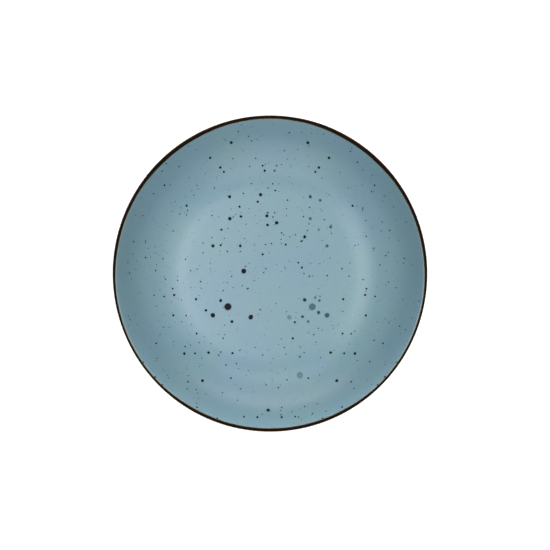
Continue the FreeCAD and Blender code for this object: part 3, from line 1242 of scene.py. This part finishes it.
@dataclass
class Specks:
    """All the iron in the glaze, from the big melted specks down to the dust."""

    section: Section
    glaze: BlueGlaze
    inside: Object
    outside: Object
    finish: IronSpeck = field(default_factory=IronSpeck)
    veils: tuple[tuple[float, float, float], ...] = (
        (25.0, -19.0, 0.9),
        (35.0, -28.0, 0.8),
        (23.5, -31.0, 0.88),
        (29.0, 54.5, 0.82),
        (11.5, 20.5, 0.88),
        (41.0, -30.0, 0.7),
        (30.5, -24.0, 0.5),
        (21.5, -72.5, 0.17),
        (14.0, -31.5, 0.11),
        (5.0, 76.5, 0.6),
        (4.0, 73.0, 0.68),
    )  # (x and y in millimetres, share that the glaze lets through) of the specks that stand out
    usual_veil: float = 0.62
    slip_mm: tuple[float, float] = (-0.35, 0.25)  # how far the specks went with the melted glaze
    veil_reach_mm: float = 1.5  # how far such a speck may lie from its place above
    painted_glints: tuple[tuple[float, float], ...] = ((-58.5, -29.5), (58.5, -29.5))  # painted highlights: two pale dots that stand in for glints on the glaze
    painted_glint_radius_mm: float = 0.35
    lip_nibs: tuple[tuple[float, float, float], ...] = (
        (55.0, 2.1, 0.6),
        (48.0, 2.2, 0.75),
        (44.0, 2.2, 0.6),
        (20.0, 2.7, 0.6),
    )  # (degrees from the near edge, millimetres in from the rim, radius) of the nibs that touch the lip
    dust_inside: int = 900
    dust_outside: int = 260
    dust_least_mm: float = 0.34  # across
    dust_most_mm: float = 1.15
    dust_skew: float = 2.6  # the higher, the more of it is fine
    dust_margin_mm: float = 4.0  # kept clear at the lip and round the foot
    dust_seed: int = 29

    def laid(self, node: str, side: Side, veil: float = 1.0) -> list[SpeckPlace]:
        """Lays the specks of a CAD node on the finished coat.

        Args:
            node: The node's name.
            side: The side of the bowl that it is on.
            veil: The share of each that the glaze lets through, apart from those that stand out.

        Returns:
            Their places, on the coat's surface.
        """
        places = []
        for place in specks_of(node):
            x, y = place.middle.x + self.slip_mm[0] * MM, place.middle.y + self.slip_mm[1] * MM
            here = (x / MM, y / MM)
            apart = [share for *spot, share in self.veils if math.dist(here, spot) < self.veil_reach_mm]
            shown = apart[0] if apart and side is Side.INSIDE else veil
            places.append(SpeckPlace(self.seats[side].under(x, y), place.radius, shown))
        return places

    def dust(self, side: Side, count: int, least: float, most: float) -> list[SpeckPlace]:
        """Scatters small specks evenly over one side.

        Args:
            side: The side of the bowl.
            count: How many.
            least: The smallest distance from the axis, in metres.
            most: The largest distance from the axis, in metres.

        Returns:
            Their places.
        """
        chance = random.Random(f"{self.dust_seed} {side.value}")
        places = []
        while len(places) < count:
            x, y = chance.uniform(-most, most), chance.uniform(-most, most)
            span = self.dust_most_mm - self.dust_least_mm
            size = self.dust_least_mm + span * chance.random() ** self.dust_skew
            if not least < math.hypot(x, y) < most:
                continue
            places.append(SpeckPlace(self.seats[side].under(x, y), size / 2 * MM))
        return places

    def nibs(self) -> list[SpeckPlace]:
        """Lays the specks that touch the dark lip's inner edge, in pairs about the near edge.

        Returns:
            Their places.
        """
        places = []
        for degrees, inset, radius in self.lip_nibs:
            reach = self.section.rim_radius - inset * MM
            for turned in (-math.radians(degrees), math.radians(degrees)):
                top = self.seats[Side.INSIDE].under(reach * math.sin(turned), -reach * math.cos(turned))
                places.append(SpeckPlace(top, radius * MM))
        return places

    def build(self) -> None:
        """Makes every group of specks."""
        self.seats = {
            Side.INSIDE: SpeckSeat(self.inside, Side.INSIDE),
            Side.OUTSIDE: SpeckSeat(self.outside, Side.OUTSIDE),
        }
        inner, outer = self.seats[Side.INSIDE], self.seats[Side.OUTSIDE]
        iron = self.finish.material(self.glaze)
        margin = self.dust_margin_mm * MM
        edge, foot = self.section.rim_radius - margin, self.section.foot_radius + margin
        small = {"segments": 8, "simple": True, "lopsided": 0.25}
        places = self.laid("inside_specks", Side.INSIDE)
        SpeckField("specks_inside", inner, iron, "iron_speck", seed=3).build(places, "inside_specks")
        places = self.laid("sunken_specks", Side.INSIDE, self.usual_veil)
        veiled = SpeckField("specks_veiled", inner, iron, "veiled_speck", dome=0.015 * MM, seed=4)
        veiled.build(places, "sunken_specks")
        places = self.laid("outside_specks", Side.OUTSIDE)
        thrown = SpeckField("specks_outside", outer, iron, "iron_speck", run_share=0.15, seed=5)
        thrown.build(places, "outside_specks")
        SpeckField("lip_nibs", inner, iron, "iron_speck", seed=9).build(self.nibs())
        places = self.dust(Side.INSIDE, self.dust_inside, 0.0, edge)
        SpeckField("dust_inside", inner, iron, "iron_speck", seed=6, **small).build(places)
        places = self.dust(Side.OUTSIDE, self.dust_outside, foot, edge - margin / 2)
        SpeckField("dust_outside", outer, iron, "iron_speck", run_share=0.15, seed=7, **small).build(places)
        # painted highlights: pale dots that stand in for glints on the glaze
        pale = IronSpeck("painted_glint_dots", grit="#C9D8DD", halo="#8FAAB4").material(self.glaze)
        radius = self.painted_glint_radius_mm * MM
        places = [SpeckPlace(inner.under(x * MM, y * MM), radius) for x, y in self.painted_glints]
        SpeckField("painted_glints", inner, pale, "blue_glaze", seed=8, **small).build(places)


# ---------------------------------------------------------------- studio


@dataclass(frozen=True)
class Softbox:
    """A soft lamp on the dome round the bowl, aimed at it. Its angles are as seen from the bowl."""

    name: str
    tilt_x: float  # degrees from overhead towards +X
    tilt_y: float  # degrees from overhead towards +Y
    wide: float  # degrees along X
    tall: float  # degrees across that
    brightness: float  # where 1 all over the dome would be even white light
    distance: float = 2.4

    def build(self) -> None:
        """Makes the lamp."""
        away = math.radians(math.hypot(self.tilt_x, self.tilt_y))
        azimuth = math.atan2(self.tilt_y, self.tilt_x)
        level = math.sin(away)
        way = Vector((level * math.cos(azimuth), level * math.sin(azimuth), math.cos(away)))
        up = way.cross(Vector((1, 0, 0))).normalized()
        lamp = bpy.data.lights.new(self.name, "AREA")
        lamp.shape = "RECTANGLE"
        lamp.size = 2 * self.distance * math.tan(math.radians(self.wide / 2))
        lamp.size_y = 2 * self.distance * math.tan(math.radians(self.tall / 2))
        lamp.energy = self.brightness * math.pi * lamp.size * lamp.size_y
        stand = bpy.data.objects.new(self.name, lamp)
        stand.location = way * self.distance
        stand.rotation_euler = Matrix((up.cross(way), up, way)).transposed().to_euler()
        stand.visible_camera = False
        bpy.context.scene.collection.objects.link(stand)


@dataclass
class Studio:
    """The plain studio: a pale floor, soft lamps and a camera that looks straight down."""

    section: Section
    softboxes: tuple[Softbox, ...] = (
        Softbox("softbox_right", 18.0, 0.0, 12.0, 30.0, 5.1),
        Softbox("softbox_right_high", 6.0, 0.0, 12.0, 30.0, 2.85),
        Softbox("softbox_right_outer", 34.5, 0.0, 21.0, 50.0, 1.4),
        Softbox("softbox_left", -18.0, 0.0, 12.0, 30.0, 3.65),
        Softbox("softbox_left_outer", -30.0, 0.0, 12.0, 50.0, 3.15),
        Softbox("softbox_far", 0.0, 40.0, 40.0, 18.0, 2.0),
        Softbox("softbox_near", 0.0, -40.0, 40.0, 18.0, 1.9),
        Softbox("softbox_far_middle", 0.0, 60.0, 50.0, 16.0, 0.7),
        Softbox("softbox_near_middle", 0.0, -60.0, 50.0, 16.0, 1.0),
        Softbox("softbox_far_low", 0.0, 75.0, 75.0, 14.0, 2.1),
        Softbox("softbox_near_low", 0.0, -75.0, 75.0, 14.0, 0.6),
        Softbox("softbox_far_strip", 0.0, 85.0, 90.0, 8.0, 11.3),
        Softbox("softbox_near_strip", 0.0, -85.0, 90.0, 8.0, 4.4),
    )
    ambient: float = 0.05
    floor_colour: str = "#F1F1F0"
    floor_size: float = 6.0
    floor_lift: float = 0.5  # light that lights nothing, so that the pale floor reads as white
    lens_mm: float = 150.0
    camera_height: float = 1.5966  # over the rim
    camera_aside: tuple[float, float] = (3.48 * MM, -1.01 * MM)

    def lights(self) -> None:
        """Makes the lamps, and a world that the camera and reflections see as white."""
        for softbox in self.softboxes:
            softbox.build()
        world = bpy.data.worlds.new("studio")
        world.use_nodes = True
        tree = world.node_tree
        tree.nodes.clear()
        ranged = {"Value": direct(tree), "To Min": self.ambient, "To Max": 1.0}
        strength = add(tree, "ShaderNodeMapRange", ranged).outputs[0]
        background = add(tree, "ShaderNodeBackground", {"Color": (1, 1, 1, 1), "Strength": strength})
        add(tree, "ShaderNodeOutputWorld", {"Surface": background.outputs[0]})
        bpy.context.scene.world = world

    def floor(self) -> None:
        """Makes the floor, which keeps the bowl's soft shadow."""
        mesh = bmesh.new()
        bmesh.ops.create_grid(mesh, x_segments=2, y_segments=2, size=self.floor_size / 2)
        data = bpy.data.meshes.new("floor")
        mesh.to_mesh(data)
        mesh.free()
        material, tree = new_material("painted_board_matt")
        lift = {0: direct(tree), 1: self.floor_lift}
        lift = add(tree, "ShaderNodeMath", lift, operation="MULTIPLY").outputs[0]
        matt = {"Base Color": linear(self.floor_colour), "Roughness": 0.9, "Specular IOR Level": 0.0}
        lit = {"Emission Color": (1, 1, 1, 1), "Emission Strength": lift}
        shader = add(tree, "ShaderNodeBsdfPrincipled", {**matt, **lit})
        add(tree, "ShaderNodeOutputMaterial", {"Surface": shader.outputs[0]})
        data.materials.append(material)
        floor = bpy.data.objects.new("floor", data)
        bpy.context.scene.collection.objects.link(floor)

    def camera(self) -> None:
        """Makes the camera, straight above the bowl and a little aside of its axis."""
        data = bpy.data.cameras.new("camera")
        data.lens = self.lens_mm
        camera = bpy.data.objects.new("camera", data)
        camera.location = (*self.camera_aside, self.section.height + self.camera_height)
        bpy.context.scene.collection.objects.link(camera)
        bpy.context.scene.camera = camera

    def build(self) -> None:
        """Sets up the whole studio."""
        self.camera()
        self.lights()
        self.floor()
        bpy.context.scene.view_settings.view_transform = "Standard"


def main() -> None:
    """Builds the bowl and its studio."""
    logging.basicConfig(level=logging.INFO, format="%(message)s")
    section = Section.from_frame()
    Studio(section).build()
    brushwork = LipBrushwork(section)
    ClayBody(section).build()
    coats = GlazeCoats(section, brushwork)
    inside = coats.inside()
    outside = coats.outside()
    coats.recess()
    LipBand(section, brushwork, coats.finish).build()
    Specks(section, coats.finish, inside, outside).build()


if __name__ == "__main__":
    main()
